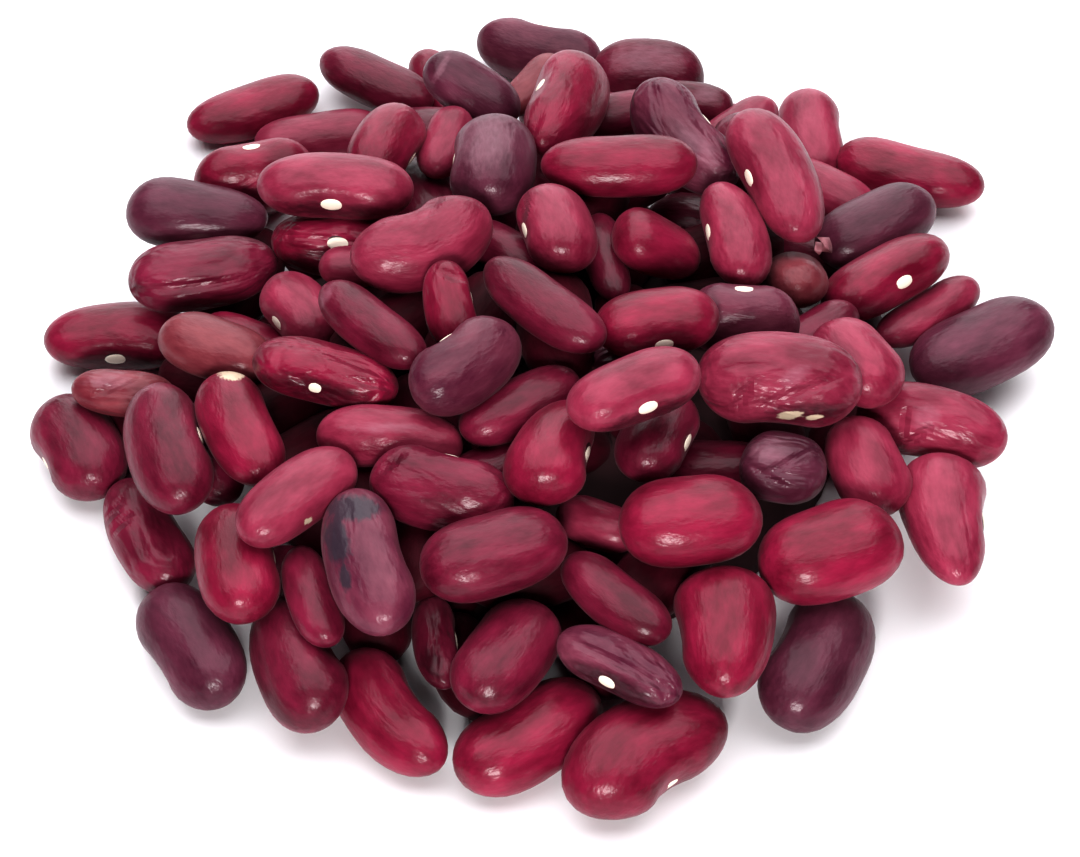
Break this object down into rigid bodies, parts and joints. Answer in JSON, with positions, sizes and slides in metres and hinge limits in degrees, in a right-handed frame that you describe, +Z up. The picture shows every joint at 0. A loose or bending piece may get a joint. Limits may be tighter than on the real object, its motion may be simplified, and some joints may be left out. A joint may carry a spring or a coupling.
{
  "type": "heap of dried kidney beans",
  "caption": "Low round heap of loose dried dark red kidney beans lying on a flat surface, with an uneven outline.",
  "frame": {"origin": "middle of the heap's outline, on the surface it lies on", "axes": "+Z up out of the surface, +X to the right of the picture, -Y towards its camera"},
  "size_m": [0.1126, 0.117, 0.0269],
  "materials": {
    "kidney_bean": "waxy dark red seed coat, satin to glossy"
  },
  "bodies": {
    "root": {"bean_heap": "kidney_bean"}
  },
  "joints": []
}
